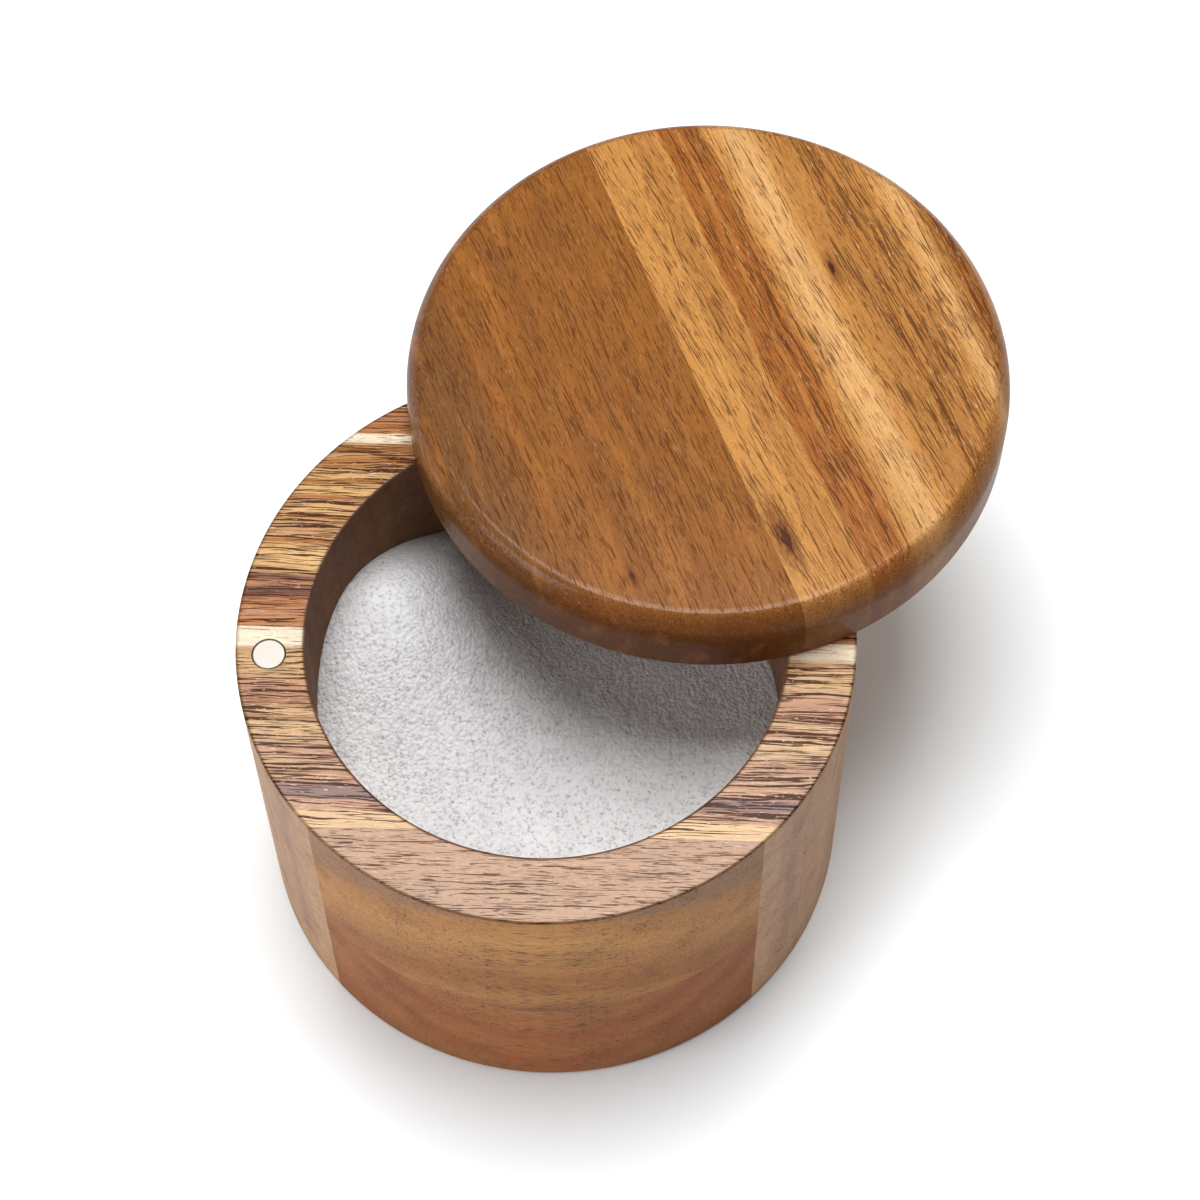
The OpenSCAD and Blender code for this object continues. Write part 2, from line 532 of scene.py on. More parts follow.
def revolved(given):
    """The revolved outline inside another tree."""
    settings = {"node_tree": tree_named("revolved_section", revolved_tree)}
    sockets = {"Geometry": given["Geometry"], "Segments": given["Segments"]}
    return given["Geometry"].node("GeometryNodeGroup", settings, sockets)


def moved(shape, translation=(0, 0, 0), turn=0.0):
    """A shape turned about the Z axis and then moved."""
    rotation = joined(0, 0, turn) if isinstance(turn, Wire) else (0, 0, turn)
    sockets = {"Geometry": shape, "Translation": translation, "Rotation": rotation}
    return shape.node("GeometryNodeTransform", {}, sockets)


def cut(shape, tool, operation):
    """A shape less a tool, or only what lies in both."""
    settings = {"operation": operation, "solver": "MANIFOLD"}
    if operation == "DIFFERENCE":
        return shape.node("GeometryNodeMeshBoolean", settings, {"Mesh 1": shape, "Mesh 2": tool})
    made = shape.node("GeometryNodeMeshBoolean", settings, {"Mesh 2": shape})
    shape.tree.links.new(tool.socket, made.socket.node.inputs["Mesh 2"])
    return made


def hole(given, label):
    """A drill for one hole, from its named place, radius and height."""
    height = given[label + " Height"]
    radius = given[label + " Radius"]
    sockets = {"Vertices": HOLE_SEGMENTS, "Radius": radius, "Depth": height}
    drill = height.node("GeometryNodeMeshCylinder", {}, sockets)
    lifted = moved(drill, joined(0, 0, height / 2))
    return moved(lifted, given[label + " Place"])


def shaded(shape, angle):
    """A shape with smooth shading, and sharp edges where it bends by more than the angle."""
    sockets = {"Geometry": shape, "Shade Smooth": True}
    smooth = shape.node("GeometryNodeSetShadeSmooth", {"domain": "FACE"}, sockets)
    bend = shape.node("GeometryNodeInputMeshEdgeAngle")
    sharp = bend.node("FunctionNodeCompare", {"operation": "GREATER_THAN"}, {0: bend, 1: angle})
    sockets = {"Geometry": smooth, "Selection": sharp, "Shade Smooth": False}
    return shape.node("GeometryNodeSetShadeSmooth", {"domain": "EDGE"}, sockets)


def ended(shape, given):
    """Ends a tree in plain geometry with its material."""
    plain = shape.node("GeometryNodeRealizeInstances", {}, {"Geometry": shape})
    sockets = {"Geometry": plain, "Material": given["Material"]}
    painted = shape.node("GeometryNodeSetMaterial", {}, sockets)
    shape.node("NodeGroupOutput", {}, {0: painted})


def board_tree():
    """One board of a glued up and turned block: revolved, cut at its joints, drilled and placed."""
    tree, given = new_tree(
        "turned_board",
        [
            ("Segments", "Int"), ("Near Joint", "Float"), ("Far Joint", "Float"),
            ("Grain", "Float"), ("Slab Side", "Float"),
            ("Pin Hole Place", "Vector"), ("Pin Hole Radius", "Float"), ("Pin Hole Height", "Float"),
            ("Magnet Hole Place", "Vector"), ("Magnet Hole Radius", "Float"),
            ("Magnet Hole Height", "Float"),
            ("Place", "Vector"), ("Turn", "Float"), ("Material", "Material"),
        ],
    )
    drilled = cut(revolved(given), hole(given, "Pin Hole"), "DIFFERENCE")
    drilled = cut(drilled, hole(given, "Magnet Hole"), "DIFFERENCE")
    side = given["Slab Side"]
    near = given["Near Joint"]
    far = given["Far Joint"]
    slab = side.node("GeometryNodeMeshCube", {}, {"Size": joined(side, far - near, side)})
    slab = moved(moved(slab, joined(0, (near + far) / 2, 0)), turn=given["Grain"])
    board = cut(drilled, slab, "INTERSECT")
    board = moved(board, given["Place"], given["Turn"])
    ended(shaded(board, SHARP_BEND), given)
    return tree


def turned_tree():
    """A whole turned piece, placed."""
    inputs = [("Segments", "Int"), ("Place", "Vector"), ("Material", "Material")]
    tree, given = new_tree("turned_piece", inputs)
    piece = moved(revolved(given), given["Place"])
    ended(shaded(piece, SHARP_BEND), given)
    return tree


def salt_tree():
    """Raises the level top of the revolved salt to its heap and makes it uneven."""
    tree, given = new_tree(
        "salt_heap",
        [
            ("Segments", "Int"), ("Level", "Float"), ("Heap Middle", "Vector"),
            ("Heap Height", "Float"), ("Heap Spread", "Float"), ("Heap Reach", "Float"),
            ("Ripple", "Float"), ("Material", "Material"),
        ],
    )
    solid = revolved(given)
    place = solid.node("GeometryNodeInputPosition")
    _, _, height = split(place)
    sockets = {0: place, 1: given["Heap Middle"]}
    apart = place.node("ShaderNodeVectorMath", {"operation": "SUBTRACT"}, sockets)
    across, along, _ = split(apart)
    reach = given["Heap Reach"]
    spreads = (across * across + along * along).math("SQRT") / given["Heap Spread"]
    spreads = spreads.math("MINIMUM", reach)
    least = (reach * reach * -0.5).math("EXPONENT")
    bell = ((spreads * spreads * -0.5).math("EXPONENT") - least) / (1 - least)
    swells = noise(place, alike(9)) * given["Ripple"]
    lumps = noise(place, alike(0.9)) * given["Ripple"] * 0.8
    raised = bell * given["Heap Height"] + (swells + lumps)
    top = height.math("GREATER_THAN", given["Level"] - LEVEL_TOLERANCE * MM)
    sockets = {"Geometry": solid, "Offset": joined(0, 0, raised * top)}
    heap = solid.node("GeometryNodeSetPosition", {}, sockets)
    ended(shaded(heap, SALT_BEND), given)
    return tree


def grain_tree():
    """Scatters small crystals over the upper faces of the salt."""
    tree, given = new_tree(
        "salt_grains",
        [
            ("Lowest", "Float"), ("Density", "Float"), ("Grain", "Float"), ("Sunk", "Float"),
            ("Seed", "Int"), ("Material", "Material"),
        ],
    )
    salt = given["Geometry"]
    _, _, height = split(salt.node("GeometryNodeInputPosition"))
    upper = height.math("GREATER_THAN", given["Lowest"])
    sockets = {"Mesh": salt, "Selection": upper, "Density": given["Density"], "Seed": given["Seed"]}
    points = salt.node("GeometryNodeDistributePointsOnFaces", {}, sockets)
    grain = given["Grain"]
    sockets = {"Radius": grain / 2, "Subdivisions": 1}
    crystal = grain.node("GeometryNodeMeshIcoSphere", {}, sockets)
    sockets = {"Geometry": crystal, "Shade Smooth": True}
    crystal = grain.node("GeometryNodeSetShadeSmooth", {"domain": "FACE"}, sockets)
    turn = {"Min": (0, 0, 0), "Max": (math.tau, math.tau, math.tau), "Seed": given["Seed"]}
    turned = salt.node("FunctionNodeRandomValue", {"data_type": "FLOAT_VECTOR"}, turn)
    size = {"Min": (0.55, 0.55, 0.45), "Max": (1.25, 1.25, 1.1), "Seed": given["Seed"] + 1}
    sized = salt.node("FunctionNodeRandomValue", {"data_type": "FLOAT_VECTOR"}, size)
    sockets = {"Points": points, "Instance": crystal, "Rotation": turned, "Scale": sized}
    scattered = points.node("GeometryNodeInstanceOnPoints", {}, sockets)
    sockets = {"Instances": scattered, "Translation": joined(0, 0, given["Sunk"] * -1)}
    sockets["Local Space"] = False
    sunk = points.node("GeometryNodeTranslateInstances", {}, sockets)
    ended(sunk, given)
    return tree


def grown(piece, tree, inputs):
    """Runs a geometry tree on a piece and keeps the result as its plain mesh."""
    modifier = piece.modifiers.new(tree.name, "NODES")
    modifier.node_group = tree
    for item in tree.interface.items_tree:
        if item.in_out == "INPUT" and item.name in inputs:
            modifier[item.identifier] = inputs[item.name]
    graph = bpy.context.evaluated_depsgraph_get()
    graph.update()
    mesh = bpy.data.meshes.new_from_object(piece.evaluated_get(graph), depsgraph=graph)
    piece.modifiers.remove(modifier)
    piece.data = mesh
    mesh.name = piece.name
    if not mesh.polygons:
        raise RuntimeError(f"{piece.name} came out empty")
    return piece


def stand_in(piece, node, body):
    """Lets a finished piece stand for a part of the model."""
    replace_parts(piece, node)
    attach(piece, body)


# What tells one board from another: its part and slot, its joints and its figure.
# bands gives the tone at places across the rings, in millimetres, and lines how strong the dark
# growth lines are there. pores holds how long the dashes are and how many there are, and lean how
# far they climb across the rings. drift is how far the rings wander, smoke how strong the smoky
# patches are and dark how dark the lines and pores are. light makes the whole board paler or
# darker. knots holds places along and across the board and a radius.
Board = namedtuple("Board", "node slot near far bands lines pores lean drift smoke dark light knots")

# The outer boards run on to here, past every turned shape
END = 60.0
# The front board's rings are counted up its side from this height. Each millimetre back from the
# front adds to the count above that height, and takes away from it below.
HEART_Z = 27.2
HEART_RISE = 0.85
HEART_FALL = -1.5
# Straw coloured wood runs through the middle front board up to this height
SAPWOOD_Z = 9.0
BODY_FIGURES = [
    Board(
        "body_front_board", "body_front_wood", -END, -BOARD_W,
        [(-60, "rust"), (-26, "russet"), (-21, "rust"), (-17, "russet"), (-11, "rust"),
         (-7, "russet"), (-2, "russet"), (-0.4, "russet"), (0.0, "drab"), (0.6, "nut"), (4, "tan"),
         (7.5, "bark"), (12, "bark"), (17, "tan"), (24, "gold"), (32, "tan"), (33.2, "buff"),
         (60, "buff")],
        [(-60, 0.0), (0, 0.1), (32, 0.1), (34, 0.4), (60, 0.4)],
        (4.0, 0.75), 0.0, 0.75, 0.6, 0.85, 1.07, [],
    ),
    Board(
        "body_mid_front_board", "body_mid_front_wood", -BOARD_W, 0.0,
        [(-31.1, "sand"), (-28.6, "sand"), (-28.2, "rose"), (-26.9, "rose"), (-26.4, "umber"),
         (-25.2, "umber"), (-24.2, "rose"), (-23.4, "fawn"), (-22.9, "nut"), (-22.2, "fawn"),
         (-20, "rose"), (-19.3, "rose"), (-18.6, "fawn"), (-15.8, "sand"), (-15.0, "fawn"),
         (-14.3, "nut"), (-13.6, "sand"), (-12.6, "fawn"), (-12.1, "nut"), (-11.4, "rose"),
         (-9.4, "rose"), (-8.4, "fawn"), (-6, "sand"), (-3.6, "fawn"), (-2.7, "cream"),
         (0, "cream")],
        [(-31.1, 0.3), (-28.5, 0.6), (-27, 0.9), (-22, 1.0), (-20, 0.9), (-14, 1.0), (-9, 0.9),
         (-4.5, 0.9), (-3, 0.2), (0, 0.05)],
        (7.0, 0.5), 0.0, 0.85, 0.5, 0.95, 1.0, [],
    ),
    Board(
        "body_mid_rear_board", "body_mid_rear_wood", 0.0, BOARD_W,
        [(0, "rose"), (0.6, "rose"), (1.0, "russet"), (1.5, "rose"), (3.2, "rose"),
         (3.7, "russet"), (4.3, "rose"), (5.0, "russet"), (5.5, "umber"), (6.4, "umber"),
         (7.0, "rose"), (8.2, "umber"), (9.1, "fawn"), (10, "sand"), (13.2, "sand"),
         (14.3, "nut"), (14.8, "fawn"), (18.2, "fawn"), (18.7, "nut"), (19.5, "sand"),
         (21.4, "fawn"), (21.9, "nut"), (22.7, "sand"), (24.2, "sand"), (24.9, "nut"),
         (25.5, "sand"), (27.2, "fawn"), (28.4, "nut"), (29.1, "fawn"), (30.2, "nut"),
         (31.1, "fawn")],
        [(0, 0.7), (5, 0.8), (7, 1.0), (9, 0.9), (12, 0.7), (15, 1.0), (19, 1.0), (24, 0.9),
         (27, 1.0), (31.1, 1.0)],
        (7.0, 0.5), 0.0, 0.85, 0.5, 0.95, 1.1, [],
    ),
    Board(
        "body_rear_board", "body_rear_wood", BOARD_W, END,
        [(31.1, "cream"), (32.4, "cream"), (32.8, "russet"), (33.3, "rose"), (33.8, "russet"),
         (34.6, "rose"), (36.0, "rose"), (36.4, "russet"), (37.2, "fawn"), (44.5, "rose")],
        [(31.1, 0.2), (33, 0.8), (37, 0.9), (44.5, 0.8)],
        (6.0, 0.5), 0.0, 0.8, 0.5, 0.9, 1.0, [],
    ),
]
LID_FIGURES = [
    Board(
        "lid_front_board", "lid_front_wood", -END, LID_JOINT,
        [(-44.5, "drab"), (-36, "drab"), (-31, "nut"), (-27, "bark"), (-22, "nut"), (-18, "bark"),
         (-14, "nut"), (-8, "bark"), (-3, "bark")],
        [(-44.5, 0.0), (-3, 0.0)],
        (3.6, 1.1), 0.0, 0.7, 1.0, 0.6, 0.78, [(29.3, -23.4, 0.7)],
    ),
    Board(
        "lid_rear_board", "lid_rear_wood", LID_JOINT, END,
        [(-3, "gold"), (2.5, "gold"), (4.2, "tan"), (6.3, "tan"), (7.0, "gold"),
         (7.7, "russet"), (10.3, "russet"), (10.8, "tan"), (11.3, "russet"), (13.2, "russet"),
         (15.2, "gold"), (18, "straw"), (20.5, "straw"), (22.5, "gold"), (24.5, "tan"),
         (26.5, "tan"), (27.8, "tan"), (28.4, "bark"), (29.2, "tan"), (31, "tan"),
         (33, "tan"), (34.2, "gold"), (37, "straw"), (38.8, "tan"), (40.5, "nut"), (44.5, "tan")],
        [(-3, 0.3), (3, 0.4), (6, 0.3), (9, 0.5), (14, 0.7), (18, 0.2), (22, 0.3), (26, 0.3),
         (28.3, 0.9), (33, 0.8), (36, 0.3), (40, 1.0), (44.5, 0.8)],
        (4.6, 0.8), 0.09, 0.95, 0.65, 0.72, 0.95, [(-8.3, 23.1, 1.1), (31.1, -1.0, 2.1)],
    ),
]


def ramp_across(across, stops, tones=None):
    """A ramp along a coordinate, of tones by name or of plain shares."""
    low = stops[0][0]
    high = stops[-1][0]
    pairs = []
    for place, value in stops:
        colour = tuple(getattr(tones, value)) if tones else (value, value, value)
        pairs.append(((place - low) / (high - low), colour))
    return across.node("ShaderNodeValToRGB", {"stops": pairs}, {0: (across - low) / (high - low)})


def scaled(colour, factor):
    """A colour made lighter or darker by a factor."""
    sockets = {0: colour, "Scale": factor}
    return factor.node("ShaderNodeVectorMath", {"operation": "SCALE"}, sockets)


def below_rim(height):
    """1 on the body's turned sides and 0 on its rim."""
    return rising(height, BODY_H - 0.05, BODY_H - 0.3)


def end_grain_of_body(along, radius, height):
    """How squarely the turned body's surface cuts across the grain, from 0 to 1."""
    upright = below_rim(height) * rising(height, 0.2, 1.0)
    return upright * abs(along) / radius


def end_grain_of_lid(along, radius, height, shapes):
    """How squarely the turned lid's surface cuts across the grain, from 0 to 1."""
    crease = lid_crease_radius(shapes)
    start = LID_R - shapes.lid_round / MM
    slope = ((radius - start) / (LID_R - start)).math("MINIMUM", 1.0)
    upright = slope * rising(radius, crease - 0.5, crease + 0.4) * rising(height, 0.02, 0.3)
    return upright * abs(along) / radius


def board_point(start, centre, turn):
    """A board's own coordinates in millimetres: along the grain, across it and up."""
    point = start.node("ShaderNodeTexCoord", {}, {}, output="Object")
    sockets = {
        "Vector": point,
        "Location": [value * MM for value in centre],
        "Rotation": (0, 0, math.radians(turn)),
        "Scale": (MM, MM, MM),
    }
    return start.node("ShaderNodeMapping", {"vector_type": "TEXTURE"}, sockets)


def knot_bulge(knot, along, across):
    """How far the rings give way round a knot."""
    knot_along, knot_across, knot_radius = knot
    off_along = (along - knot_along) / (3.2 * knot_radius)
    off_across = (across - knot_across) / (1.6 * knot_radius)
    near = ((off_along * off_along + off_across * off_across) * -1).math("EXPONENT")
    side = ((across - knot_across) / knot_radius).math("MINIMUM", 1.0).math("MAXIMUM", -1.0)
    return near * side * knot_radius


def knot_distance(knot, along, across, point):
    """Ragged distance from the middle of a knot, which is 1 at the edge of its dark heart."""
    knot_along, knot_across, knot_radius = knot
    off_along = (along - knot_along) / (1.7 * knot_radius)
    off_across = (across - knot_across) / (0.55 * knot_radius)
    ragged = noise(point, (1.2, 0.5, 0.8), 3.0) * 1.6
    return (off_along * off_along + off_across * off_across).math("SQRT") + ragged


def ring_places(board, along, across, height, wave, waver):
    """Places across the growth rings, which give way round the knots."""
    ring = across + wave + waver
    if board.node == "body_front_board":
        above = rising(height, HEART_Z - 0.15, HEART_Z + 0.15)
        slope = HEART_FALL + (HEART_RISE - HEART_FALL) * above
        ring = height - HEART_Z + slope * (across + BODY_R) + wave + waver
    for knot in board.knots:
        ring = ring + knot_bulge(knot, along, across)
    return ring


def growth_lines(fine, strength):
    """Dark growth lines along the rings, broken into dots and stronger in some bands."""
    level = 0.20 - 0.17 * strength
    line = rising(noise(fine, (13, 0.3, 2.2), 1.5), level, level + 0.03)
    broken = rising(noise(fine, (0.8, 0.25, 0.25), 1.0), -0.26, -0.14)
    return line * broken * rising(strength, 0.0, 0.3)


def dashes(point, length, width, level):
    """Short dashes along the grain, from 0 to 1. A lower level gives more of them."""
    return rising(noise(point, (length, width, width), 0.5), level, level + 0.045)


def open_pores(board, leaning, patch, strength):
    """Open pores, which are short dark dashes along the grain in two lengths."""
    length, share = board.pores
    level = 0.23 - 0.10 * share - patch * 0.25 - strength * 0.05
    pore = dashes(leaning, length, 0.21, level)
    short = dashes(leaning, length * 0.45, 0.17, level) * 0.8
    return pore.math("MAXIMUM", short)


def rim_edges(radius, height):
    """1 along both edges of the rim, where the finish gathers, and 0 elsewhere."""
    outer = rising(radius, BODY_R - 0.7, BODY_R - 0.1)
    inner = rising(radius, CAVITY_R + 0.7, CAVITY_R + 0.1)
    return outer.math("MAXIMUM", inner) * rising(height, BODY_H - 0.5, BODY_H - 0.2)


# Oiled wood hardly mirrors by itself, and its polish is a thin coat over it
WOOD_IOR = 1.12
COAT_ROUGHNESS = 0.16
# How far the tones give way to that of end grain, and to that of the body's sides, which is partly
# painted sheen
LID_END_SHARE = 0.75
BODY_END_SHARE = 0.25
SIDE_TONE_AND_SHEEN_SHARE = 0.7


def wood(board, centre, turn, is_lid, tones, shapes):
    """Oiled and polished wood of one board, figured right through in the board's own directions."""
    material, start = new_material(board.slot)
    point = board_point(start, centre, turn)
    along, across, height = split(point)
    radius = (along * along + across * across).math("SQRT")

    # Growth rings drift and waver along the board
    wave = noise(point, (45, 14, 14), 1.0) * (2.4 * board.drift)
    waver = noise(point, (9, 2.5, 2.5), 2.0) * (1.5 * board.drift)
    ring = ring_places(board, along, across, height, wave, waver)
    colour = ramp_across(ring, board.bands, tones)
    if board.node == "body_mid_front_board":
        sap = rising(height + wave * 2, SAPWOOD_Z + 0.4, SAPWOOD_Z - 0.4)
        colour = mix(sap * 0.6, colour, opaque(tones.straw))

    # End grain soaks up more finish, so it is darker and redder, with pores as dots
    if is_lid:
        crease = lid_crease_radius(shapes)
        end = end_grain_of_lid(along, radius, height, shapes)
        side = rising(radius, crease, LID_R - 1)
        gloss = 0.15 + 0.22 * rising(radius, crease - 0.6, crease + 0.2) - 0.2 * side
    else:
        end = end_grain_of_body(along, radius, height)
        side = below_rim(height)
        gloss = 0.42 - 0.38 * side
        # Painted sheen: the sides of all but the front board go pale and pinkish, partly their own
        # tone, partly painted sheen
        if board.node != "body_front_board":
            colour = mix(side * SIDE_TONE_AND_SHEEN_SHARE, colour, opaque(tones.side_tone_and_sheen))
    end_share = LID_END_SHARE if is_lid else BODY_END_SHARE
    colour = mix(end * end_share, colour, opaque(tones.clay))

    # Fibres, smoky patches and fine speckle change the brightness
    fine = joined(along, across + wave + waver, height)
    fibre = noise(fine, (26, 1.4, 1.4), 3.0, 0.7)
    hair = noise(fine, (9, 0.4, 0.4), 1.0)
    speckle = noise(point, (0.45, 0.2, 0.2), 1.0)
    patch = noise(point, (13, 3.6, 6), 3.0, 0.6)
    colour = scaled(colour, (1 + fibre * 0.55 + hair * 0.4 + speckle * 0.5) * board.light)
    smoke = rising(patch, -0.02, 0.2) * (0.42 * board.smoke)
    colour = mix(smoke, colour, opaque(tones.drab))
    glow = rising(noise(point, (17, 3.2, 6), 2.0), 0.03, 0.2)
    colour = mix(glow * 0.3 * board.smoke, colour, opaque(tones.honey))

    # Growth lines show where the rings are cut square, and fade out on the turned sides
    strength = ramp_across(ring, board.lines) * (1 - side)
    leaning = joined(along, across - along * board.lean, height)
    pores = open_pores(board, leaning, patch, strength)
    marks = growth_lines(fine, strength).math("MAXIMUM", pores)
    colour = mix(marks * board.dark * (1 - 0.3 * end), colour, opaque(tones.ink))
    # Painted glints: pale flecks along the grain beside the growth lines stand in for light caught on
    # the pores' edges
    painted_glint_fleck = rising(noise(fine, (1.6, 0.2, 0.2), 0.5), 0.2, 0.27) * (0.15 + 0.35 * strength)
    colour = mix(painted_glint_fleck, colour, opaque(tones.cream))
    for knot in board.knots:
        apart = knot_distance(knot, along, across, point)
        colour = mix(rising(apart, 2.4, 0.8) * 0.6, colour, opaque(tones.clay))
        colour = mix(rising(apart, 1.0, 0.3) * 0.9, colour, opaque(tones.ink))

    # The body's rim is dark along its edges, and its cavity is dull and darker: partly darker wood,
    # partly painted shade in the recess
    rough = 0.22 + patch * 0.08 + speckle * 0.06 + end * 0.3
    if not is_lid:
        colour = scaled(colour, 1 - 0.45 * rim_edges(radius, height))
        inside = rising(radius, CAVITY_R + 0.5, CAVITY_R + 0.1)
        rough = rough + inside * 0.25
        # Painted shade: the cavity's wall is mixed towards umber and darkened, partly for darker
        # wood, partly as shade in the recess
        colour = scaled(mix(inside * 0.6, colour, opaque(tones.umber)), 1 - 0.1 * inside)
    relief = fibre * 0.008 + hair * 0.002 - marks * 0.01 + speckle * 0.001
    bump = start.node("ShaderNodeBump", {}, {"Strength": 1.0, "Distance": MM, "Height": relief})
    return finish_material(
        material,
        start,
        {
            "Base Color": colour,
            "Roughness": rough,
            "IOR": WOOD_IOR,
            "Coat Weight": gloss * (1 - 0.9 * marks),
            "Coat Roughness": COAT_ROUGHNESS,
            "Normal": bump,
        },
    )


def salt_material(salt, name, lumpy):
    """White salt, faintly uneven in colour, and darker between its grains as painted shade."""
    material, start = new_material(name)
    point = start.node("ShaderNodeTexCoord", {}, {}, output="Object")
    cloud = noise(point, alike(5), 3.0)
    cells = {"Vector": stretched(point, alike(0.55)), "Scale": 1.0}
    edge = start.node("ShaderNodeTexVoronoi", {}, cells)
    # Painted shade: the salt darkens towards the borders of its grain cells, between the crystals,
    # besides its uneven tone in wider patches
    darker = tuple(value * 0.88 for value in salt.colour)
    shade = rising(cloud - edge * 0.3 + 0.15, -0.35, 0.35)
    colour = mix(shade, opaque(darker), opaque(salt.colour))
    sockets = {"Base Color": colour, "Roughness": 0.7, "IOR": 1.5}
    # Light passes a little way into the salt and softens the shadows between its crystals
    sockets["Subsurface Weight"] = 1.0
    sockets["Subsurface Radius"] = (1.0, 1.0, 1.0)
    sockets["Subsurface Scale"] = 0.6 * MM
    if lumpy:
        height = edge * -0.3
        sockets["Normal"] = start.node(
            "ShaderNodeBump", {}, {"Strength": 0.8, "Distance": MM, "Height": height}
        )
    return finish_material(material, start, sockets)


def metal_material(name, colour, rough):
    """Plated or drawn metal with faint handling marks."""
    material, start = new_material(name)
    point = start.node("ShaderNodeTexCoord", {}, {}, output="Object")
    marks = noise(point, alike(0.8), 3.0)
    scratch = noise(point, (3 * MM, 0.15 * MM, 0.15 * MM), 2.0)
    darker = tuple(value * 0.85 for value in colour)
    shade = rising(marks, -0.3, 0.3)
    relief = marks * 0.02 + scratch * 0.004
    bump = start.node("ShaderNodeBump", {}, {"Strength": 0.5, "Distance": MM, "Height": relief})
    return finish_material(
        material,
        start,
        {
            "Base Color": mix(shade, opaque(darker), opaque(colour)),
            "Metallic": 1.0,
            "Roughness": rough + marks * 0.15,
            "Normal": bump,
        },
    )


def make_board(board, section, inputs, body):
    """One board from its section, its joints and its holes."""
    piece = section_object(board.node + "_wood", section)
    inputs = dict(inputs)
    inputs["Near Joint"] = board.near * MM
    inputs["Far Joint"] = board.far * MM
    grown(piece, tree_named("turned_board", board_tree), inputs)
    stand_in(piece, board.node, body)


class SALTBOX_OT_body_boards(bpy.types.Operator):
    """Turn the body from its four boards"""

    bl_idname = "saltbox.body_boards"
    bl_label = "Body Boards"

    def execute(self, context):
        scene = context.scene
        shapes = scene.saltbox_shapes
        inputs = {
            "Segments": shapes.segments,
            "Grain": math.radians(BODY_GRAIN),
            "Slab Side": SLAB_SIDE * MM,
            "Pin Hole Place": (PIN.x * MM, PIN.y * MM, (PIN_LO.z - PIN_END_GAP) * MM),
            "Pin Hole Radius": (PIN_R + PIN_CLEARANCE) * MM,
            "Pin Hole Height": (BODY_H - PIN_LO.z + PIN_END_GAP + OVERSHOOT) * MM,
            "Magnet Hole Place": (BODY_MAGNET.x * MM, BODY_MAGNET.y * MM, MAGNET_LO.z * MM),
            "Magnet Hole Radius": (MAGNET_R + MAGNET_GAP) * MM,
            "Magnet Hole Height": (MAGNET_L + OVERSHOOT) * MM,
            "Place": (0, 0, 0),
            "Turn": 0.0,
        }
        for board in BODY_FIGURES:
            inputs["Material"] = wood(
                board, (0, 0, 0), BODY_GRAIN, False, scene.saltbox_tones, shapes
            )
            make_board(board, body_section(shapes), inputs, "body")
        return {"FINISHED"}


class SALTBOX_OT_lid_boards(bpy.types.Operator):
    """Turn the lid from its two boards and set it open"""

    bl_idname = "saltbox.lid_boards"
    bl_label = "Lid Boards"

    def execute(self, context):
        scene = context.scene
        shapes = scene.saltbox_shapes
        inputs = {
            "Segments": shapes.segments,
            "Grain": math.radians(LID_GRAIN),
            "Slab Side": SLAB_SIDE * MM,
            "Pin Hole Place": (FITTING_R * MM, 0, -OVERSHOOT * MM),
            "Pin Hole Radius": PIN_R * MM,
            "Pin Hole Height": (PIN_HI.z - LID_LO.z + OVERSHOOT) * MM,
            "Magnet Hole Place": (-FITTING_R * MM, 0, -OVERSHOOT * MM),
            "Magnet Hole Radius": (MAGNET_R + MAGNET_GAP) * MM,
            "Magnet Hole Height": (MAGNET_L + OVERSHOOT) * MM,
            "Place": tuple(LID_MIDDLE * MM),
            "Turn": math.radians(LID_TURN),
        }
        for board in LID_FIGURES:
            inputs["Material"] = wood(
                board, LID_MIDDLE, LID_TURN + LID_GRAIN, True, scene.saltbox_tones, shapes
            )
            make_board(board, lid_section(shapes), inputs, "lid")
        return {"FINISHED"}


class SALTBOX_OT_magnets(bpy.types.Operator):
    """Make the two magnets and finish the pivot pin"""

    bl_idname = "saltbox.magnets"
    bl_label = "Magnets and Pin"

    def execute(self, context):
        metals = context.scene.saltbox_metals
        nickel = metal_material("magnet_nickel", metals.nickel, metals.nickel_rough)
        places = [("body_magnet", "body", BODY_MAGNET), ("lid_magnet", "lid", LID_MAGNET)]
        for node, body, middle in places:
            piece = section_object(node + "_disc", magnet_section(metals.magnet_edge / MM))
            place = (middle.x * MM, middle.y * MM, (middle.z - MAGNET_L / 2) * MM)
            inputs = {"Segments": metals.segments, "Place": place, "Material": nickel}
            grown(piece, tree_named("turned_piece", turned_tree), inputs)
            stand_in(piece, node, body)
        steel = metal_material("pin_steel", metals.steel, metals.steel_rough)
        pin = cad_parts["pivot_pin"]
        pin.data.materials.clear()
        pin.data.materials.append(steel)
        return {"FINISHED"}


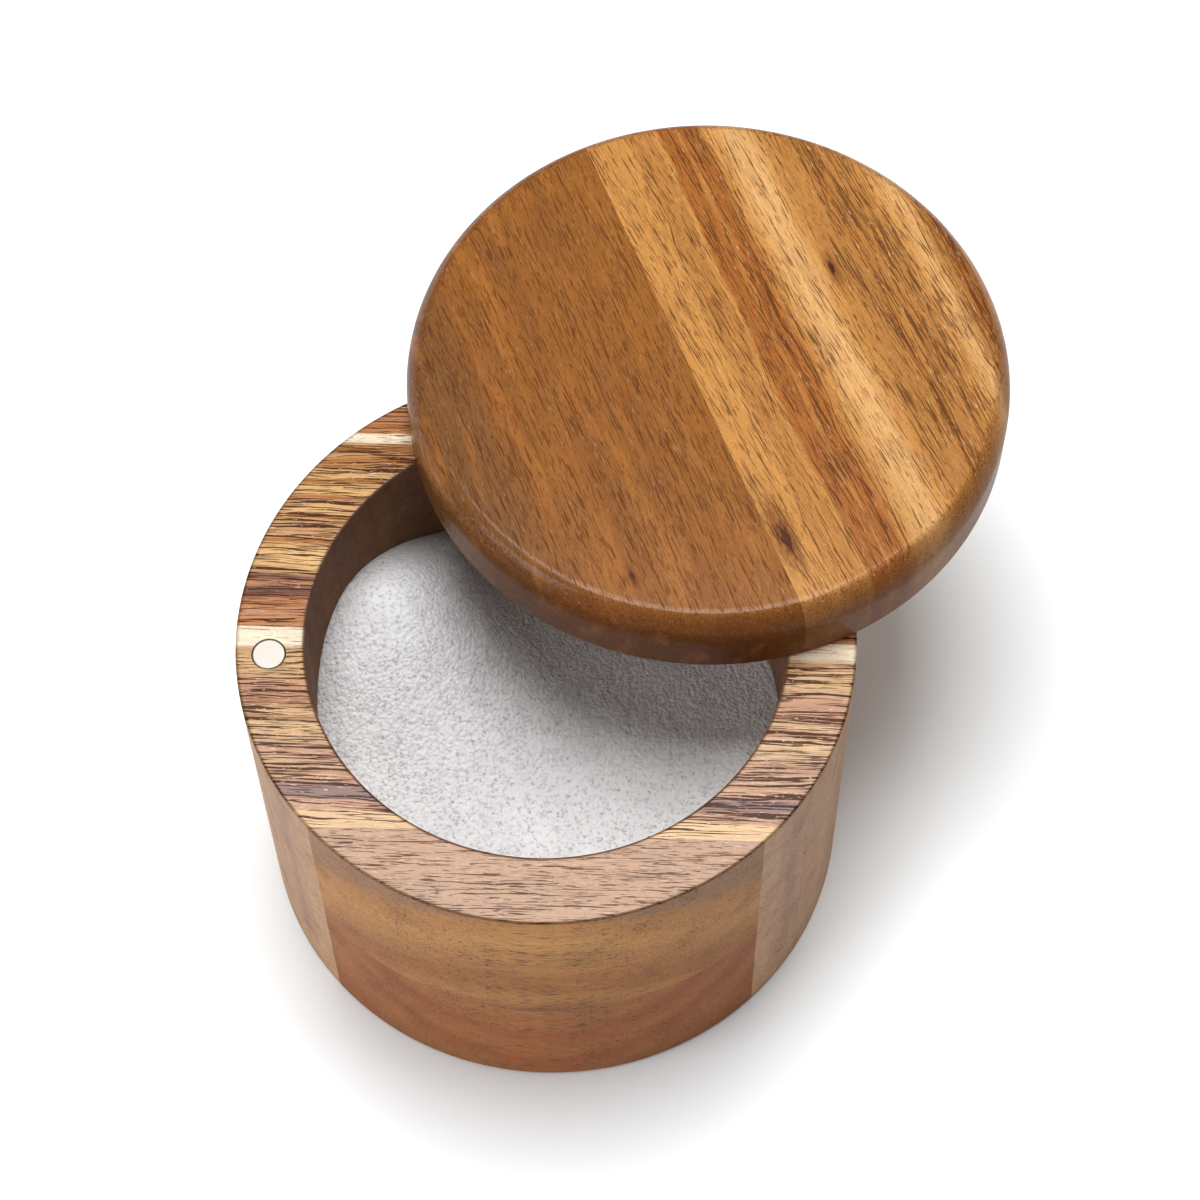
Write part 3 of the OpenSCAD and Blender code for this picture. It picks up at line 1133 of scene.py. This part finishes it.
class SALTBOX_OT_salt(bpy.types.Operator):
    """Fill the body with salt and scatter crystals over it"""

    bl_idname = "saltbox.salt"
    bl_label = "Salt"

    def execute(self, context):
        scene = context.scene
        salt = scene.saltbox_salt
        heap_r = CAVITY_R * MM - salt.heap_inset
        level = BODY_H * MM - salt.depth
        heap_x = heap_r * math.cos(salt.heap_angle)
        heap_y = heap_r * math.sin(salt.heap_angle)
        piece = section_object("salt_fill", salt_section(scene.saltbox_shapes, salt))
        inputs = {
            "Segments": salt.segments,
            "Level": level,
            "Heap Middle": (heap_x, heap_y, 0),
            "Heap Height": salt.heap_height,
            "Heap Spread": salt.heap_spread,
            "Heap Reach": HEAP_REACH,
            "Ripple": salt.ripple,
            "Material": salt_material(salt, "salt_fill", True),
        }
        grown(piece, tree_named("salt_heap", salt_tree), inputs)
        stand_in(piece, "salt", "body")
        loose = salt_material(salt, "salt_grains", False)
        area = math.pi * (CAVITY_R * MM) ** 2
        for number in range(2):
            grains = piece.copy()
            grains.data = piece.data.copy()
            grains.name = f"salt_grains_{number + 1}"
            scene.collection.objects.link(grains)
            # The copy is only what the crystals lie on, and stands for no part of the model
            del grains["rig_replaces"]
            inputs = {
                "Lowest": level - LOOSE_DROP * MM,
                "Density": salt.grains / area,
                "Grain": salt.grain,
                "Sunk": salt.sunk,
                "Seed": FIRST_SEED + number * SEED_STEP,
                "Material": loose,
            }
            grown(grains, tree_named("salt_grains", grain_tree), inputs)
            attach(grains, "body")
        return {"FINISHED"}


def turned_about_view(azimuth, elevation, roll):
    """The camera's turn and its backward direction, from angles in degrees."""
    azimuth = math.radians(azimuth)
    elevation = math.radians(elevation)
    level = math.cos(elevation)
    back = Vector((math.sin(azimuth) * level, -math.cos(azimuth) * level, math.sin(elevation)))
    turn = (-back).to_track_quat("-Z", "Y") @ Quaternion((0, 0, 1), math.radians(roll))
    return turn, back


def add_lamp(name, looks, power, azimuth, elevation):
    """A soft square lamp that looks at the middle of the rim."""
    lamp = bpy.data.lights.new(name, "AREA")
    lamp.shape = "SQUARE"
    lamp.size = looks.key_size
    lamp.energy = power
    piece = bpy.data.objects.new(name, lamp)
    bpy.context.scene.collection.objects.link(piece)
    level = math.cos(elevation)
    away = Vector((math.cos(azimuth) * level, math.sin(azimuth) * level, math.sin(elevation)))
    piece.location = Vector((0, 0, BODY_H * MM)) + away * looks.distance
    piece.rotation_mode = "QUATERNION"
    piece.rotation_quaternion = (-away).to_track_quat("-Z", "Y")


class SALTBOX_OT_stage(bpy.types.Operator):
    """Set up the floor, the light and the camera"""

    bl_idname = "saltbox.stage"
    bl_label = "Stage"

    def execute(self, context):
        scene = context.scene
        looks = scene.saltbox_stage
        mesh = bpy.data.meshes.new("floor")
        side = looks.floor_reach
        corners = [(-side, -side, 0), (side, -side, 0), (side, side, 0), (-side, side, 0)]
        mesh.from_pydata(corners, [], [(0, 1, 2, 3)])
        floor = bpy.data.objects.new("floor", mesh)
        scene.collection.objects.link(floor)
        material, start = new_material("floor_paper")
        mesh.materials.append(material)
        sockets = {"Base Color": opaque(looks.floor), "Roughness": 1.0, "Specular IOR Level": 0.0}
        finish_material(material, start, sockets)

        world = bpy.data.worlds.new("studio")
        scene.world = world
        world.use_nodes = True
        world.node_tree.nodes.clear()
        start = Wire(world.node_tree)
        seen = start.node("ShaderNodeLightPath", {}, {}, output="Is Camera Ray")
        mirrored = start.node("ShaderNodeLightPath", {}, {}, output="Is Glossy Ray")
        strength = looks.sky + seen * (1 - looks.sky) + mirrored * (looks.shine - looks.sky)
        sockets = {"Color": (1, 1, 1, 1), "Strength": strength}
        sky = start.node("ShaderNodeBackground", {}, sockets)
        start.node("ShaderNodeOutputWorld", {}, {"Surface": sky})

        add_lamp("key", looks, looks.key_power, looks.key_azimuth, looks.key_elevation)
        add_lamp("fill", looks, looks.fill_power, looks.fill_azimuth, looks.fill_elevation)

        lens = bpy.data.cameras.new("camera")
        lens.sensor_width = SENSOR_WIDTH
        lens.lens = CAMERA_LENS
        lens.clip_start = CAMERA_NEAR * MM
        lens.clip_end = CAMERA_FAR * MM
        camera = bpy.data.objects.new("camera", lens)
        scene.collection.objects.link(camera)
        turn, back = turned_about_view(CAMERA_AZIMUTH, CAMERA_ELEVATION, CAMERA_ROLL)
        camera.location = (Vector(CAMERA_AIM) + back * CAMERA_DISTANCE) * MM
        camera.rotation_mode = "QUATERNION"
        camera.rotation_quaternion = turn
        scene.camera = camera
        scene.view_settings.view_transform = "Standard"
        return {"FINISHED"}


class SALTBOX_PT_panel(bpy.types.Panel):
    """Lists the pieces of the salt box and their settings"""

    bl_idname = "SALTBOX_PT_panel"
    bl_label = "Salt Box"
    bl_space_type = "VIEW_3D"
    bl_region_type = "UI"
    bl_category = "Salt Box"

    def draw(self, context):
        for operator in OPERATORS:
            self.layout.operator(operator.bl_idname)
        for name, group in GROUPS.items():
            column = self.layout.column()
            for label in group.__annotations__:
                column.prop(getattr(context.scene, name), label)


GROUPS = {
    "saltbox_shapes": TurnedShapes,
    "saltbox_tones": WoodTones,
    "saltbox_salt": SaltShapes,
    "saltbox_metals": MetalLooks,
    "saltbox_stage": StageLooks,
}
OPERATORS = (
    SALTBOX_OT_body_boards,
    SALTBOX_OT_lid_boards,
    SALTBOX_OT_magnets,
    SALTBOX_OT_salt,
    SALTBOX_OT_stage,
)


def register():
    for name, group in GROUPS.items():
        bpy.utils.register_class(group)
        setattr(bpy.types.Scene, name, bpy.props.PointerProperty(type=group))
    for operator in OPERATORS:
        bpy.utils.register_class(operator)
    bpy.utils.register_class(SALTBOX_PT_panel)


def unregister():
    bpy.utils.unregister_class(SALTBOX_PT_panel)
    for operator in reversed(OPERATORS):
        bpy.utils.unregister_class(operator)
    for name, group in GROUPS.items():
        delattr(bpy.types.Scene, name)
        bpy.utils.unregister_class(group)


def main():
    register()
    bpy.ops.saltbox.body_boards()
    bpy.ops.saltbox.lid_boards()
    bpy.ops.saltbox.magnets()
    bpy.ops.saltbox.salt()
    bpy.ops.saltbox.stage()


if __name__ == "__main__":
    main()
